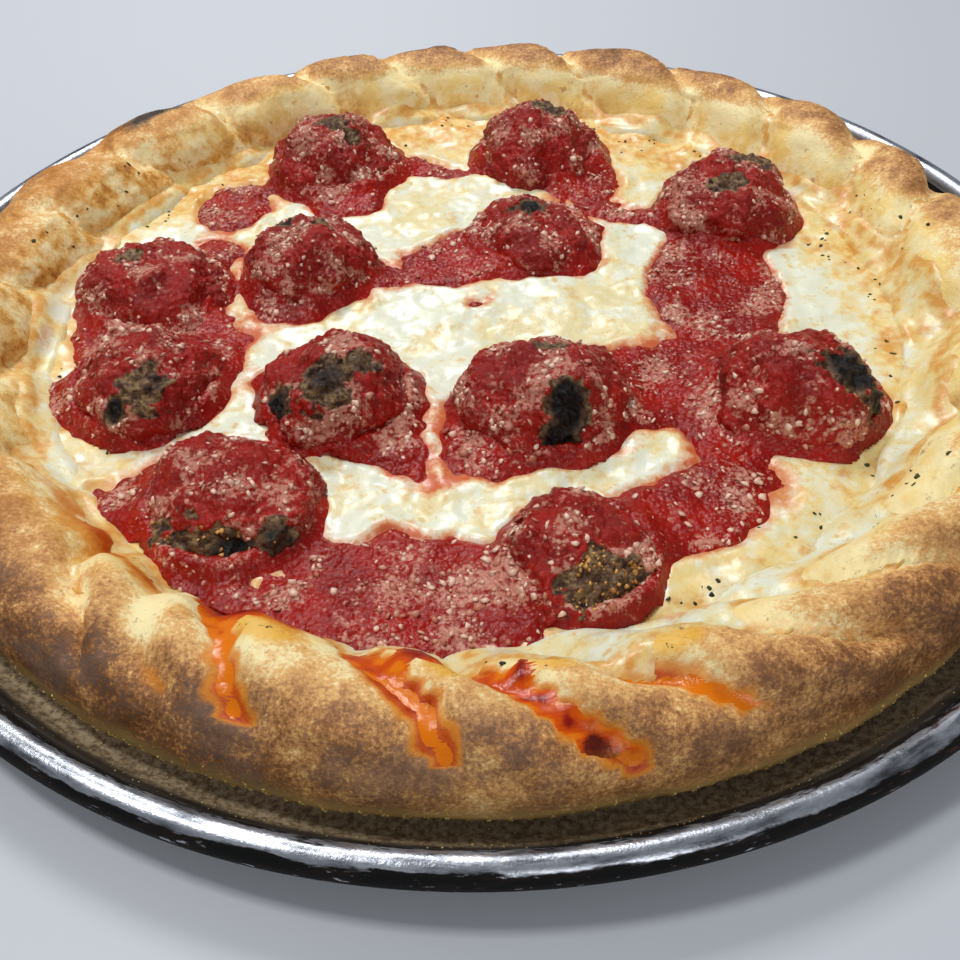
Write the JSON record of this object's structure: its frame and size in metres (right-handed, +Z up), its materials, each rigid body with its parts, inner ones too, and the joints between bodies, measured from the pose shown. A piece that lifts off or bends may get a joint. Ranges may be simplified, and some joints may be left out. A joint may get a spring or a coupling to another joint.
{
  "type": "deep dish pizza",
  "caption": "Deep dish pizza with a rolled, pleated crust, melted cheese, pools of tomato sauce and meatballs, baked in its round steel pan with a rolled bead.",
  "frame": {"origin": "middle of the pan's flat underside", "axes": "+Z up, +X to the right and -Y towards the near edge of the pizza as it is served"},
  "size_m": [0.406, 0.406, 0.0331],
  "materials": {
    "pan_steel": "worn steel with dark baked-on seasoning",
    "baked_dough": "baked golden brown crust, matt with oily creases",
    "melted_cheese": "melted, browned in places, oily gloss",
    "tomato_sauce": "coarse wet tomato sauce",
    "meatball": "browned minced meat, glazed with sauce",
    "grated_cheese": "dry hard grated cheese",
    "herbs": "dried dark green herb flakes",
    "crumbs": "cornmeal and toasted crumbs"
  },
  "bodies": {
    "root": {"pan": "pan_steel", "crust": "baked_dough", "cheese": "melted_cheese", "sauce_pool_01": "tomato_sauce", "sauce_pool_02": "tomato_sauce", "sauce_pool_03": "tomato_sauce", "sauce_pool_04": "tomato_sauce", "sauce_pool_05": "tomato_sauce", "sauce_pool_06": "tomato_sauce", "sauce_pool_07": "tomato_sauce", "sauce_pool_08": "tomato_sauce", "meatball_01": "meatball", "meatball_02": "meatball", "meatball_03": "meatball", "meatball_04": "meatball", "meatball_05": "meatball", "meatball_06": "meatball", "meatball_07": "meatball", "meatball_08": "meatball", "meatball_09": "meatball", "meatball_10": "meatball", "meatball_11": "meatball", "meatball_12": "meatball"}
  },
  "joints": []
}
